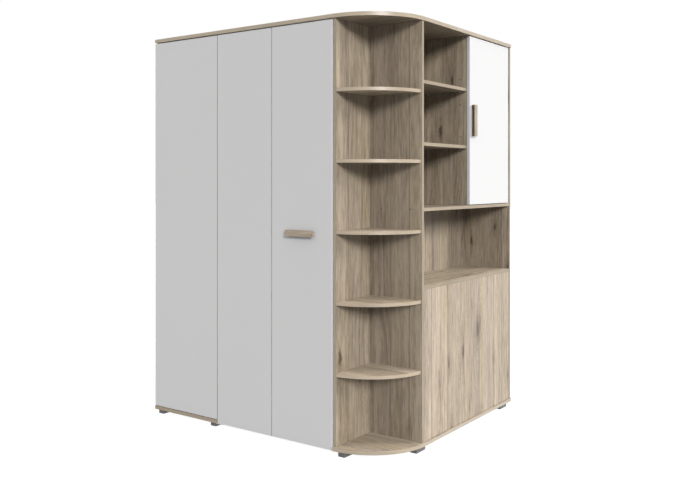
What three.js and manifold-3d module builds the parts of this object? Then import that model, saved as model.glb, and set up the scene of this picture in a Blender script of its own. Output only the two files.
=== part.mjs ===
// Corner wardrobe: a walk-in wardrobe with a folding door, rounded open shelves round the outer
// corner and a bookcase with a desk niche and a small cupboard on the other face.
// Lengths are in millimetres. The two faces would meet at x = 0, y = 0 if the corner were square.
// The folding door faces -Y, the bookcase faces +X, and the floor is z = 0.

import * as THREE from 'three';
import { mergeVertices } from 'three/addons/utils/BufferGeometryUtils.js';
import Module from 'manifold-3d';

const wasm = await Module();
wasm.setup();

// Driving dimensions of the whole wardrobe
const overallWidth = 1472;
const overallDepth = 1246;
const overallHeight = 1980;
const cornerRadius = 304;

// Board thicknesses and the small rounding that the edge bands have
const boardThick = 18;
const panelThick = 16;
const backThick = 3;
const edgeRound = 0.6;
const doorEdgeRound = 1;

// Feet: moulded blocks, and how far in from the edges of the bottom boards they stand
const footHeight = 20;
const footWidth = 37;
const footLength = 80;
const footRound = 4;
const footDraft = 1.5;
const footSideInset = 20;
const footInnerInset = 15;
const footFrontInset = 8;
const nicheFootSide = 29;
const nicheFootFront = 5;
const faceFootInset = 9;
const firstFaceFoot = 240;
const lastFaceFootInset = 40;

// The door front: a fixed white panel and a two-leaf folding door beside it
const frontPanelWidth = 453;
const frontSetback = 2;
const frontTopGap = 5;
const frontPanelLift = 2;
const leafPlateGap = 1;
const leafPivotGap = 2.2;
const foldGap = 2;
const leafEndGap = 1.2;

// The corner niche and its round shelves
const nicheWidth = 291;
const nicheDepth = 282;
const jambSetback = 9;
const roundShelfPitch = 320;
const roundShelfSetback = 10;
const roundShelfCount = 5;

// The bookcase
const sideSetback = 5;
const openWidth = 467;
const deskHeight = 750;
const deskNicheHeight = 342;
const lowerFrontGap = 1;
const looseShelfPlay = 0.5;

// Tops of the loose shelves, as shares of the height from the middle shelf to the top board
const openShelfShares = [0.6903, 0.3531];
const cupboardShelfShare = 0.5117;

// The cupboard door
const cupboardDoorSetback = 8;
const cupboardDoorOverlap = 2;
const cupboardDoorGap = 3;
const cupboardDoorSideGap = 4;
const cupboardStopGap = 1.5;
const cupboardShelfBehindDoor = 10;

// The wardrobe bay behind the fixed panel
const hangingWidth = 790;
const hatSpace = 222;
const bayShelfSetback = 10;
const linenShelfCount = 3;
const railDrop = 64;
const railHeight = 30;
const railBreadth = 15;
const railWall = 1.5;
const socketWall = 2.5;
const socketDepth = 12;
const socketBase = 3;
const socketFlange = 8;

// Handles: a flat bar on a narrower neck of nearly its length, held by two screws from behind
const handleLength = 160;
const handleBreadth = 30;
const handleThick = 4;
const handleGap = 16;
const handleEdgeRound = 1;
const handleNeckBreadth = 16;
const handleNeckInset = 1;
const handleScrewSpacing = 128;
const handleScrewDepth = 10;
const handleScrewRadius = 2;
const handleScrewHeadRadius = 4;
const handleScrewHeadThick = 2.5;
const cupboardHandleInset = 32;

// Folding door fittings: pivot pins, guide track, guide pin and fold hinges
const pivotInset = 30;
const pivotBehindMiddle = 2;
const pivotPinRadius = 2;
const pivotPinDepth = 25;
const pivotCollarRadius = 4;
const pivotCollarThick = 1;
const trackBreadth = 10;
const trackHeight = 9;
const trackWall = 1;
const trackEndGap = 1;
const bushLength = 14;
const guideRollerRadius = 3.7;
const guideRollerHeight = 6;
const guideRollerRise = 1.5;
const pivotPlateThick = 2.5;
const pivotPlateStrip = 14;
const pivotPlateLength = 84;
const pivotPlateTongue = 24;
const pivotPlateFront = 4;
const pivotEyeRadius = 8;
const pivotPinBelowPlate = 4;
const hingeHeight = 60;
const hingeLeafBreadth = 26;
const hingeLeafThick = 1.5;
const hingeBarrelRadius = 3;
const hingePinRadius = 1.5;
const hingeAxialGap = 0.4;
const hingeEndInset = 230;
const hingeCount = 3;

// Cupboard door pivots: a pin at each end of the door, with a collar in the gap above or below it
const doorPinInset = 12;
const doorPinRadius = 2.5;
const doorPinDepth = 20;
const doorPinReach = 8;
const doorPinCollarRadius = 6;
const doorPinCollarThick = 2.6;

// Rows of holes for the pins under the loose shelves
const shelfPinRadius = 2.4;
const shelfHoleDepth = 9;
const shelfHoleSetback = 37;
const shelfHoleStep = 64;

// Clearances shared by everything that is cut to fit its neighbour
const fitGap = 0.3;
const overrun = 5;

// Steps of round shapes
const cornerSteps = 16;
const pinSides = 16;
const holeSides = 12;
const roundSteps = 3;
const bevelSteps = 2;

// Planes and heights that several pieces share
const leftFace = -overallWidth;
const bayRight = leftFace + frontPanelWidth;
const bayBackFace = leftFace + backThick;
const jambRight = -nicheWidth;
const jambLeft = jambRight - panelThick;
const bookcaseFront = -sideSetback;
const bookcaseRear = jambRight;
const bookcaseBackFace = bookcaseRear + backThick;
const leftSideInner = nicheDepth + panelThick;
const dividerLeft = leftSideInner + openWidth;
const dividerRight = dividerLeft + panelThick;
const rightSideInner = overallDepth - panelThick;
const floorBoardTop = footHeight + boardThick;
const topBoardUnder = overallHeight - boardThick;
const frontBack = frontSetback + panelThick;
const frontTop = topBoardUnder - frontTopGap;
const hatShelfHeight = topBoardUnder - hatSpace;
const middleShelfHeight = deskHeight + deskNicheHeight + panelThick;
const upperHeight = topBoardUnder - middleShelfHeight;
const openShelfHeights = openShelfShares.map((share) => middleShelfHeight + share * upperHeight);
const cupboardShelfHeight = middleShelfHeight + cupboardShelfShare * upperHeight;
const lowerShelfHeight = (floorBoardTop + deskHeight) / 2;
const cupboardDoorFront = -cupboardDoorSetback;
const cupboardDoorBack = cupboardDoorFront - panelThick;
const dividerFront = cupboardDoorBack - cupboardStopGap;
const cupboardDoorLeft = dividerLeft - cupboardDoorOverlap;
const cupboardDoorRight = rightSideInner - cupboardDoorSideGap;
const cupboardDoorBottom = middleShelfHeight + cupboardDoorGap;
const cupboardDoorTop = topBoardUnder - cupboardDoorGap;
const pivotLine = frontSetback + panelThick / 2 + pivotBehindMiddle;
const leafWidth = (jambLeft - bayRight - leafPivotGap - foldGap - leafEndGap) / 2;
const leftLeafStart = bayRight + leafPivotGap;
const leftLeafEnd = leftLeafStart + leafWidth;
const rightLeafStart = leftLeafEnd + foldGap;
const rightLeafEnd = rightLeafStart + leafWidth;
const leafPivotX = leftLeafStart + pivotInset;
const guidePinX = rightLeafEnd - pivotInset;
const foldX = leftLeafEnd + foldGap / 2;
const leafBottom = footHeight + leafPlateGap;
const leafMiddle = (leafBottom + frontTop) / 2;
const doorPinX = cupboardDoorFront - panelThick / 2;
const doorPinY = cupboardDoorRight - doorPinInset;

// Finishes
const oak = { color: 0xb7a48c, roughness: 0.55, metalness: 0 };
const oakEdge = { color: 0xc2b09a, roughness: 0.5, metalness: 0 };
const white = { color: 0xf3f3f2, roughness: 0.35, metalness: 0 };
const hardboard = { color: 0xa58f76, roughness: 0.8, metalness: 0 };
const darkPlastic = { color: 0x3b3a38, roughness: 0.5, metalness: 0 };
const greyPlastic = { color: 0x8d8d8b, roughness: 0.45, metalness: 0 };
const steel = { color: 0xb9bcc0, roughness: 0.3, metalness: 1 };
const alloy = { color: 0xc8cacc, roughness: 0.4, metalness: 1 };

const wardrobe = new THREE.Group();
const carcass = new THREE.Group();
const leftLeaf = new THREE.Group();
const rightLeaf = new THREE.Group();
const cupboardFront = new THREE.Group();
wardrobe.add(carcass, leftLeaf, rightLeaf, cupboardFront);

// Names a piece, gives it a finish of its own and stands it at its lowest corner
function addPiece(group, name, finish, geometry) {
  geometry.computeBoundingBox();
  const corner = geometry.boundingBox.min.clone();
  geometry.translate(-corner.x, -corner.y, -corner.z);
  const mesh = new THREE.Mesh(geometry, new THREE.MeshStandardMaterial(finish));
  mesh.name = name;
  mesh.position.copy(corner);
  group.add(mesh);
}

// A closed geometry as a solid that can be cut and joined
function toSolid(geometry) {
  const bare = new THREE.BufferGeometry();
  bare.setAttribute('position', geometry.getAttribute('position'));
  bare.setIndex(geometry.getIndex());
  const merged = mergeVertices(bare);
  const index = merged.getIndex().array;
  const triangles = [];
  for (let i = 0; i < index.length; i += 3) {
    const [a, b, c] = [index[i], index[i + 1], index[i + 2]];
    if (a !== b && b !== c && c !== a) triangles.push(a, b, c);
  }
  const vertProperties = new Float32Array(merged.getAttribute('position').array);
  const triVerts = new Uint32Array(triangles);
  return new wasm.Manifold(new wasm.Mesh({ numProp: 3, vertProperties, triVerts }));
}

function toGeometry(solid) {
  const mesh = solid.getMesh();
  const geometry = new THREE.BufferGeometry();
  geometry.setAttribute('position', new THREE.BufferAttribute(mesh.vertProperties, mesh.numProp));
  geometry.setIndex(new THREE.BufferAttribute(mesh.triVerts, 1));
  return geometry;
}

function cut(geometry, cutters) {
  let solid = toSolid(geometry);
  for (const cutter of cutters) solid = solid.subtract(toSolid(cutter));
  return toGeometry(solid);
}

function join(geometries) {
  let solid = toSolid(geometries[0]);
  for (const geometry of geometries.slice(1)) solid = solid.add(toSolid(geometry));
  return toGeometry(solid);
}

// Turns a flat outline's thickness from Z to the named axis, keeping it right-handed
function faceAlong(geometry, axis) {
  const x = new THREE.Vector3(1, 0, 0);
  const y = new THREE.Vector3(0, 1, 0);
  const z = new THREE.Vector3(0, 0, 1);
  const turns = { x: [y, z, x], y: [z, x, y], z: [x, y, z] };
  return geometry.applyMatrix4(new THREE.Matrix4().makeBasis(...turns[axis]));
}

// An outline given its thickness, with both rims rounded and the outline kept at full size
function extrudeOutline(shape, thick, rim) {
  return new THREE.ExtrudeGeometry(shape, {
    depth: thick - 2 * rim,
    bevelEnabled: true,
    bevelThickness: rim,
    bevelSize: rim,
    bevelOffset: -rim,
    bevelSegments: bevelSteps,
    curveSegments: cornerSteps,
  }).translate(0, 0, rim);
}

function rectangle(u, v) {
  const shape = new THREE.Shape();
  shape.moveTo(0, 0);
  shape.lineTo(u, 0);
  shape.lineTo(u, v);
  shape.lineTo(0, v);
  return shape;
}

// A flat board between two corners, with the rims of its two large faces rounded
function board(low, high, rim = edgeRound) {
  const size = high.map((value, i) => value - low[i]);
  const thin = size.indexOf(Math.min(...size));
  const shape = rectangle(size[(thin + 1) % 3], size[(thin + 2) % 3]);
  const geometry = extrudeOutline(shape, size[thin], rim);
  return faceAlong(geometry, ['x', 'y', 'z'][thin]).translate(...low);
}

function block(low, high) {
  const size = high.map((value, i) => value - low[i]);
  const middle = high.map((value, i) => (value + low[i]) / 2);
  return new THREE.BoxGeometry(...size).translate(...middle);
}

// A round bar along Z from one height to another
function rod(radius, x, y, low, high, sides) {
  const bar = new THREE.CylinderGeometry(radius, radius, high - low, sides);
  return bar.rotateX(Math.PI / 2).translate(x, y, (low + high) / 2);
}

// A piece turned about Z: the profile's points are radius and height, from the axis back to the axis
function turned(profile) {
  const points = profile.map(([radius, rise]) => new THREE.Vector2(radius, rise));
  const lathe = new THREE.LatheGeometry(points, pinSides);
  return toGeometry(toSolid(lathe)).rotateX(Math.PI / 2);
}

// The rounded corner that the top and bottom boards share, from a left edge to the right end
function cornerOutline(left) {
  const lead = Math.max(cornerRadius + left, 0);
  const start = -Math.PI / 2 + Math.asin(lead / cornerRadius);
  const shape = new THREE.Shape();
  shape.moveTo(left, overallDepth);
  shape.lineTo(left, cornerRadius + cornerRadius * Math.sin(start));
  shape.absarc(-cornerRadius, cornerRadius, cornerRadius, start, 0, false);
  shape.lineTo(0, overallDepth);
  return shape;
}

// Top board: one board over everything, grooved below for the guide track and bored for the
// upper pin of the cupboard door
function addTopBoard() {
  const plain = extrudeOutline(cornerOutline(leftFace), boardThick, edgeRound);
  plain.translate(0, 0, topBoardUnder);
  const half = trackBreadth / 2 + fitGap;
  const groove = block(
    [bayRight + trackEndGap - fitGap, pivotLine - half, topBoardUnder - overrun],
    [jambLeft - trackEndGap + fitGap, pivotLine + half, topBoardUnder + trackHeight + fitGap],
  );
  const boreEnd = topBoardUnder + doorPinReach + fitGap;
  const bore = rod(doorPinRadius + fitGap, doorPinX, doorPinY, topBoardUnder - overrun, boreEnd, pinSides);
  addPiece(carcass, 'top_board', oak, cut(plain, [groove, bore]));
}

function addBottomBoards() {
  const bay = board([leftFace, 0, footHeight], [bayRight, overallDepth, floorBoardTop]);
  addPiece(carcass, 'bay_bottom_board', oak, bay);
  const round = extrudeOutline(cornerOutline(jambLeft), boardThick, edgeRound);
  addPiece(carcass, 'bookcase_bottom_board', oak, round.translate(0, 0, footHeight));
}

// A foot: a moulded block with round corners that tapers a little towards the floor
function footGeometry(x, y) {
  const shape = new THREE.Shape();
  const right = footWidth - footRound;
  const rear = footLength - footRound;
  shape.absarc(right, footRound, footRound, -Math.PI / 2, 0, false);
  shape.absarc(right, rear, footRound, 0, Math.PI / 2, false);
  shape.absarc(footRound, rear, footRound, Math.PI / 2, Math.PI, false);
  shape.absarc(footRound, footRound, footRound, Math.PI, 1.5 * Math.PI, false);
  const straight = new THREE.ExtrudeGeometry(shape, {
    depth: footHeight - footDraft,
    bevelEnabled: true,
    bevelThickness: footDraft,
    bevelSize: footDraft,
    bevelOffset: -footDraft,
    bevelSegments: 1,
    curveSegments: roundSteps,
  });
  const foot = straight.translate(x, y, footDraft);
  const above = block(
    [x - overrun, y - overrun, footHeight],
    [x + footWidth + overrun, y + footLength + overrun, footHeight + overrun],
  );
  return cut(foot, [above]);
}

function addFeet() {
  const bayColumns = [leftFace + footSideInset, bayRight - footInnerInset - footWidth];
  const bayRows = [footFrontInset, overallDepth - footFrontInset - footLength];
  const faceColumns = [-faceFootInset - footWidth, jambLeft + footSideInset];
  const faceRows = [firstFaceFoot, overallDepth - lastFaceFootInset - footLength];
  const places = [[jambLeft + nicheFootSide, nicheFootFront]];
  for (const x of bayColumns) for (const y of bayRows) places.push([x, y]);
  for (const x of faceColumns) for (const y of faceRows) places.push([x, y]);
  places.forEach(([x, y], i) => addPiece(carcass, `foot_${i + 1}`, darkPlastic, footGeometry(x, y)));
}

// The bay behind the fixed panel: two sides, a divider, a thin back against the wall and the panel
function addBay() {
  const dividerFace = frontBack + panelThick + hangingWidth;
  const upright = (y) => board([bayBackFace, y, floorBoardTop], [bayRight, y + panelThick, topBoardUnder]);
  addPiece(carcass, 'bay_front_side', oak, upright(frontBack));
  addPiece(carcass, 'bay_divider', oak, upright(dividerFace));
  addPiece(carcass, 'bay_rear_side', oak, upright(rightSideInner));
  const back = board([leftFace, frontBack, floorBoardTop], [bayBackFace, overallDepth, topBoardUnder]);
  addPiece(carcass, 'bay_back_panel', hardboard, back);
  const panel = board(
    [leftFace, frontSetback, floorBoardTop + frontPanelLift],
    [bayRight, frontBack, frontTop],
    doorEdgeRound,
  );
  addPiece(carcass, 'white_front_panel', white, panel);
}

function addBayShelves() {
  const hangingStart = frontBack + panelThick;
  const hangingEnd = hangingStart + hangingWidth;
  const linenStart = hangingEnd + panelThick;
  const front = bayRight - bayShelfSetback;
  const shelf = (y, end, top) => board([bayBackFace, y, top - panelThick], [front, end, top]);
  addPiece(carcass, 'hat_shelf', oak, shelf(hangingStart, hangingEnd, hatShelfHeight));
  const clear = topBoardUnder - floorBoardTop;
  const pitch = (clear + panelThick) / (linenShelfCount + 1);
  for (let i = 1; i <= linenShelfCount; i += 1) {
    const top = floorBoardTop + i * pitch;
    addPiece(carcass, `linen_shelf_${i}`, oak, shelf(linenStart, rightSideInner, top));
  }
}

// Clothes rail: an oval tube between two screwed sockets
function ovalShape(height, breadth) {
  const shape = new THREE.Shape();
  const half = breadth / 2;
  const rise = (height - breadth) / 2;
  shape.absarc(0, rise, half, 0, Math.PI, false);
  shape.absarc(0, -rise, half, Math.PI, 2 * Math.PI, false);
  return shape;
}

function extrudeAlongY(shape, y, length) {
  const options = { depth: length, bevelEnabled: false, curveSegments: pinSides / 2 };
  return new THREE.ExtrudeGeometry(shape, options).rotateX(Math.PI / 2).translate(0, y + length, 0);
}

function addClothesRail() {
  const start = frontBack + panelThick;
  const end = start + hangingWidth;
  const x = (bayBackFace + bayRight) / 2;
  const z = hatShelfHeight - panelThick - railDrop;
  const tube = ovalShape(railHeight, railBreadth);
  tube.holes.push(ovalShape(railHeight - 2 * railWall, railBreadth - 2 * railWall));
  const reach = socketBase + fitGap;
  const rail = extrudeAlongY(tube, start + reach, end - start - 2 * reach).translate(x, 0, z);
  addPiece(carcass, 'clothes_rail', steel, rail);

  const wall = 2 * (fitGap + socketWall);
  const cup = ovalShape(railHeight + wall, railBreadth + wall);
  cup.holes.push(ovalShape(railHeight + 2 * fitGap, railBreadth + 2 * fitGap));
  const plate = ovalShape(railHeight + wall + 2 * socketFlange, railBreadth + wall);
  const collar = socketDepth - socketBase;
  const front = join([
    extrudeAlongY(plate, start, socketBase),
    extrudeAlongY(cup, start + socketBase, collar),
  ]);
  addPiece(carcass, 'rail_socket_front', greyPlastic, front.translate(x, 0, z));
  const rear = join([
    extrudeAlongY(plate, end - socketBase, socketBase),
    extrudeAlongY(cup, end - socketDepth, collar),
  ]);
  addPiece(carcass, 'rail_socket_rear', greyPlastic, rear.translate(x, 0, z));
}

// Corner niche: the jamb beside the folding door and the round shelves
function addJamb() {
  const jamb = board([jambLeft, jambSetback, floorBoardTop], [jambRight, leftSideInner, topBoardUnder]);
  addPiece(carcass, 'jamb_panel', oak, jamb);
}

function roundShelfShape() {
  const radius = cornerRadius - roundShelfSetback;
  const fromJamb = cornerRadius - nicheWidth;
  const fromSide = cornerRadius - nicheDepth;
  const start = -Math.acos(fromJamb / radius);
  const end = -Math.asin(fromSide / radius);
  const shape = new THREE.Shape();
  shape.moveTo(jambRight, nicheDepth);
  shape.lineTo(jambRight, cornerRadius + radius * Math.sin(start));
  shape.absarc(-cornerRadius, cornerRadius, radius, start, end, false);
  return shape;
}

function addRoundShelves() {
  const middle = (floorBoardTop + topBoardUnder) / 2;
  for (let i = 0; i < roundShelfCount; i += 1) {
    const centre = middle + (i - (roundShelfCount - 1) / 2) * roundShelfPitch;
    const shelf = extrudeOutline(roundShelfShape(), panelThick, edgeRound);
    shelf.translate(0, 0, centre - panelThick / 2);
    addPiece(carcass, `round_shelf_${i + 1}`, oak, shelf);
  }
}

// Pins in these holes carry the loose shelves, one under each corner. The uprights have a spare
// hole above and below every pin.
const pinColumns = [dividerFront - shelfHoleSetback, bookcaseBackFace + shelfHoleSetback];

function pinHeight(shelfTop) {
  return shelfTop - panelThick - fitGap - shelfPinRadius;
}

// Bores for shelf pins in an upright whose face is at y
function pinHoles(shelfTops, y) {
  const holes = [];
  for (const top of shelfTops) {
    for (const step of [-shelfHoleStep, 0, shelfHoleStep]) {
      for (const x of pinColumns) {
        const radius = shelfPinRadius + fitGap;
        const hole = new THREE.CylinderGeometry(radius, radius, 2 * shelfHoleDepth, holeSides);
        hole.translate(x, y, pinHeight(top) + step);
        holes.push(hole);
      }
    }
  }
  return holes;
}

// Bookcase uprights
function addBookcaseSides() {
  const side = (y) => board(
    [bookcaseRear, y, floorBoardTop],
    [bookcaseFront, y + panelThick, topBoardUnder],
  );
  const left = cut(side(nicheDepth), pinHoles(openShelfHeights, leftSideInner));
  addPiece(carcass, 'bookcase_left_side', oak, left);
  const right = cut(side(rightSideInner), pinHoles([cupboardShelfHeight], rightSideInner));
  addPiece(carcass, 'bookcase_right_side', oak, right);
  const divider = board(
    [bookcaseBackFace, dividerLeft, middleShelfHeight],
    [dividerFront, dividerRight, topBoardUnder],
  );
  const holes = [
    ...pinHoles(openShelfHeights, dividerLeft),
    ...pinHoles([cupboardShelfHeight], dividerRight),
  ];
  addPiece(carcass, 'bookcase_divider', oak, cut(divider, holes));
}

// Bookcase boards that run from side to side, and the thin back that starts behind the desk board
function addBookcaseBoards() {
  const across = (rear, front, top) => board(
    [rear, leftSideInner, top - panelThick],
    [front, rightSideInner, top],
  );
  const boreEnd = middleShelfHeight - doorPinReach - fitGap;
  const bore = rod(doorPinRadius + fitGap, doorPinX, doorPinY, boreEnd, middleShelfHeight + overrun, pinSides);
  const middle = across(bookcaseBackFace, bookcaseFront, middleShelfHeight);
  addPiece(carcass, 'middle_shelf', oak, cut(middle, [bore]));
  addPiece(carcass, 'desk_board', oak, across(bookcaseBackFace, bookcaseFront, deskHeight));
  const panelBack = bookcaseFront - panelThick;
  addPiece(carcass, 'lower_shelf', oak, across(bookcaseRear, panelBack, lowerShelfHeight));
  const panel = board(
    [panelBack, leftSideInner + lowerFrontGap, floorBoardTop],
    [bookcaseFront, rightSideInner - lowerFrontGap, deskHeight - panelThick],
  );
  addPiece(carcass, 'lower_front_panel', oak, panel);
  const back = board(
    [bookcaseRear, leftSideInner, deskHeight - panelThick],
    [bookcaseBackFace, rightSideInner, topBoardUnder],
  );
  addPiece(carcass, 'bookcase_back_panel', hardboard, back);
}

function addLooseShelves() {
  const loose = (start, end, front, top) => board(
    [bookcaseBackFace, start + looseShelfPlay, top - panelThick],
    [front, end - looseShelfPlay, top],
  );
  openShelfHeights.forEach((top, i) => {
    addPiece(carcass, `open_shelf_${i + 1}`, oak, loose(leftSideInner, dividerLeft, dividerFront, top));
  });
  const front = cupboardDoorBack - cupboardShelfBehindDoor;
  const inner = loose(dividerRight, rightSideInner, front, cupboardShelfHeight);
  addPiece(carcass, 'cupboard_shelf', oak, inner);
}

// A handle, drawn for the folding door: length along X, front towards -Y, with the door's face at
// y = 0. The bar, its neck and the two screws through the door are one piece here.
function handleGeometry() {
  const end = handleLength / 2;
  const bar = board(
    [-end, -handleGap - handleThick, -handleBreadth / 2],
    [end, -handleGap, handleBreadth / 2],
    handleEdgeRound,
  );
  const neck = block(
    [handleNeckInset - end, -handleGap - handleThick / 2, -handleNeckBreadth / 2],
    [end - handleNeckInset, 0, handleNeckBreadth / 2],
  );
  const profile = [
    [0, -handleScrewDepth],
    [handleScrewRadius, -handleScrewDepth],
    [handleScrewRadius, panelThick],
    [handleScrewHeadRadius, panelThick],
    [handleScrewHeadRadius, panelThick + handleScrewHeadThick],
    [0, panelThick + handleScrewHeadThick],
  ];
  const points = profile.map(([radius, along]) => new THREE.Vector2(radius, along));
  const places = [-handleScrewSpacing / 2, handleScrewSpacing / 2];
  const screws = places.map((x) => new THREE.LatheGeometry(points, pinSides).translate(x, 0, 0));
  return join([bar, neck, ...screws]);
}

function handleBores() {
  const places = [-handleScrewSpacing / 2, handleScrewSpacing / 2];
  const radius = handleScrewRadius + fitGap;
  const length = panelThick + 2 * overrun;
  return places.map((x) => {
    const bore = new THREE.CylinderGeometry(radius, radius, length, holeSides);
    return bore.translate(x, panelThick / 2, 0);
  });
}

// Places of the two handles: level on the right leaf, upright on the cupboard door
function placeOnLeaf(geometry) {
  return geometry.translate((rightLeafStart + rightLeafEnd) / 2, frontSetback, leafMiddle);
}

function placeOnCupboard(geometry) {
  const turnedUp = geometry.rotateY(Math.PI / 2).rotateZ(Math.PI / 2);
  const z = (cupboardDoorBottom + cupboardDoorTop) / 2;
  return turnedUp.translate(cupboardDoorFront, cupboardDoorLeft + cupboardHandleInset, z);
}

// Folding door leaves, bored at their ends for the pins and through for the handle screws
function addLeaves() {
  const leaf = (start) => board(
    [start, frontSetback, leafBottom],
    [start + leafWidth, frontBack, frontTop],
    doorEdgeRound,
  );
  const radius = pivotPinRadius + fitGap;
  const depth = pivotPinDepth + fitGap;
  const upper = (x) => rod(radius, x, pivotLine, frontTop - depth, frontTop + overrun, holeSides);
  const lower = (x) => rod(radius, x, pivotLine, leafBottom - overrun, leafBottom + depth, holeSides);
  const left = cut(leaf(leftLeafStart), [upper(leafPivotX), lower(leafPivotX)]);
  addPiece(leftLeaf, 'door_leaf_left', white, left);
  const right = cut(leaf(rightLeafStart), [upper(guidePinX), ...handleBores().map(placeOnLeaf)]);
  addPiece(rightLeaf, 'door_leaf_right', white, right);
  addPiece(rightLeaf, 'door_handle', oakEdge, placeOnLeaf(handleGeometry()));
}

// Pivot pins of the left leaf: one up into the bush in the track, one down into the floor plate
function addLeafPivots() {
  const up = frontTopGap + trackHeight - trackWall - fitGap;
  const top = turned([
    [0, -pivotPinDepth],
    [pivotPinRadius, -pivotPinDepth],
    [pivotPinRadius, 0],
    [pivotCollarRadius, 0],
    [pivotCollarRadius, pivotCollarThick],
    [pivotPinRadius, pivotCollarThick],
    [pivotPinRadius, up],
    [0, up],
  ]).translate(leafPivotX, pivotLine, frontTop);
  addPiece(leftLeaf, 'leaf_pivot_pin_top', steel, top);
  const low = footHeight - pivotPlateThick - pivotPinBelowPlate;
  const bottom = rod(pivotPinRadius, leafPivotX, pivotLine, low, leafBottom + pivotPinDepth, pinSides);
  addPiece(leftLeaf, 'leaf_pivot_pin_bottom', steel, bottom);
}

// Track let into the top board, with the bush that the upper pivot pin turns in at its left end
function addTrack() {
  const low = [bayRight + trackEndGap, pivotLine - trackBreadth / 2, topBoardUnder];
  const high = [jambLeft - trackEndGap, pivotLine + trackBreadth / 2, topBoardUnder + trackHeight];
  const channel = block(
    [low[0] - overrun, low[1] + trackWall, low[2] - overrun],
    [high[0] + overrun, high[1] - trackWall, high[2] - trackWall],
  );
  addPiece(carcass, 'guide_track', alloy, cut(block(low, high), [channel]));
  const inner = trackBreadth / 2 - trackWall - fitGap;
  const bush = block(
    [leafPivotX - bushLength / 2, pivotLine - inner, topBoardUnder],
    [leafPivotX + bushLength / 2, pivotLine + inner, topBoardUnder + trackHeight - trackWall - fitGap],
  );
  const radius = pivotPinRadius + fitGap;
  const bore = rod(radius, leafPivotX, pivotLine, topBoardUnder - overrun, overallHeight, pinSides);
  addPiece(carcass, 'top_pivot_bush', greyPlastic, cut(bush, [bore]));
}

// Guide pin: stands in the right leaf and carries the roller that runs in the track
function addGuidePin() {
  const rollerLow = frontTopGap + guideRollerRise;
  const rollerHigh = rollerLow + guideRollerHeight;
  const pin = turned([
    [0, -pivotPinDepth],
    [pivotPinRadius, -pivotPinDepth],
    [pivotPinRadius, 0],
    [pivotCollarRadius, 0],
    [pivotCollarRadius, pivotCollarThick],
    [pivotPinRadius, pivotCollarThick],
    [pivotPinRadius, rollerLow],
    [guideRollerRadius, rollerLow],
    [guideRollerRadius, rollerHigh],
    [0, rollerHigh],
  ]).translate(guidePinX, pivotLine, frontTop);
  addPiece(rightLeaf, 'guide_pin', greyPlastic, pin);
}

// Floor plate: a flat steel angle screwed under the bay's bottom board, with an eye under the leaf
function addPivotPlate() {
  const left = bayRight - pivotPlateStrip;
  const shape = new THREE.Shape();
  shape.moveTo(left, pivotPlateFront);
  shape.lineTo(leafPivotX, pivotPlateFront);
  shape.absarc(leafPivotX, pivotLine, pivotEyeRadius, -Math.PI / 2, Math.PI / 2, false);
  shape.lineTo(bayRight + fitGap, pivotPlateTongue);
  shape.lineTo(bayRight + fitGap, pivotPlateFront + pivotPlateLength);
  shape.lineTo(left, pivotPlateFront + pivotPlateLength);
  const plate = new THREE.ExtrudeGeometry(shape, {
    depth: pivotPlateThick,
    bevelEnabled: false,
    curveSegments: pinSides,
  }).translate(0, 0, footHeight - pivotPlateThick);
  const bore = rod(pivotPinRadius + fitGap, leafPivotX, pivotLine, 0, footHeight + overrun, pinSides);
  addPiece(carcass, 'floor_pivot_plate', steel, cut(plate, [bore]));
}

// Heights of the fold hinges, spread evenly between the two end ones
function hingeHeights() {
  const low = leafBottom + hingeEndInset;
  const high = frontTop - hingeEndInset;
  const step = (high - low) / (hingeCount - 1);
  return Array.from({ length: hingeCount }, (_, i) => low + i * step);
}

// One leaf of a fold hinge: a plate on the back of a door leaf, with the knuckles that are its own.
// side is -1 for the left leaf and 1 for the right one.
function hingeLeaf(side, middle, knuckles) {
  const low = middle - hingeHeight / 2;
  const third = hingeHeight / 3;
  const clear = hingeBarrelRadius + foldGap / 2;
  const plate = (near, far, start, end) => block(
    [Math.min(side * near, side * far), 0, start],
    [Math.max(side * near, side * far), hingeLeafThick, end],
  );
  const pieces = [plate(clear, hingeLeafBreadth, low, low + hingeHeight)];
  for (const i of knuckles) {
    const start = low + i * third + hingeAxialGap / 2;
    const end = low + (i + 1) * third - hingeAxialGap / 2;
    pieces.push(plate(0, clear + hingeLeafThick, start, end));
    pieces.push(rod(hingeBarrelRadius, 0, hingeBarrelRadius, start, end, pinSides));
  }
  return join(pieces);
}

// Fold hinges: the pin is riveted into the left leaf's two knuckles and turns in the other one
function addFoldHinges() {
  const half = hingeHeight / 2;
  hingeHeights().forEach((middle, i) => {
    const pin = rod(hingePinRadius, 0, hingeBarrelRadius, middle - half, middle + half, holeSides);
    const left = join([hingeLeaf(-1, middle, [0, 2]), pin]);
    addPiece(leftLeaf, `fold_hinge_${i + 1}_left`, steel, left.translate(foldX, frontBack, 0));
    const bore = rod(hingePinRadius + fitGap, 0, hingeBarrelRadius, middle - half, middle + half, holeSides);
    const right = cut(hingeLeaf(1, middle, [1]), [bore]);
    addPiece(rightLeaf, `fold_hinge_${i + 1}_right`, steel, right.translate(foldX, frontBack, 0));
  });
}

// Cupboard door on two pivot pins, with its handle
function addCupboardDoor() {
  const door = board(
    [cupboardDoorBack, cupboardDoorLeft, cupboardDoorBottom],
    [cupboardDoorFront, cupboardDoorRight, cupboardDoorTop],
    doorEdgeRound,
  );
  const radius = doorPinRadius + fitGap;
  const depth = doorPinDepth + fitGap;
  const bores = [
    rod(radius, doorPinX, doorPinY, cupboardDoorTop - depth, cupboardDoorTop + overrun, pinSides),
    rod(radius, doorPinX, doorPinY, cupboardDoorBottom - overrun, cupboardDoorBottom + depth, pinSides),
    ...handleBores().map(placeOnCupboard),
  ];
  addPiece(cupboardFront, 'cupboard_door', white, cut(door, bores));
  addPiece(cupboardFront, 'cupboard_handle', oakEdge, placeOnCupboard(handleGeometry()));
}

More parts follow.
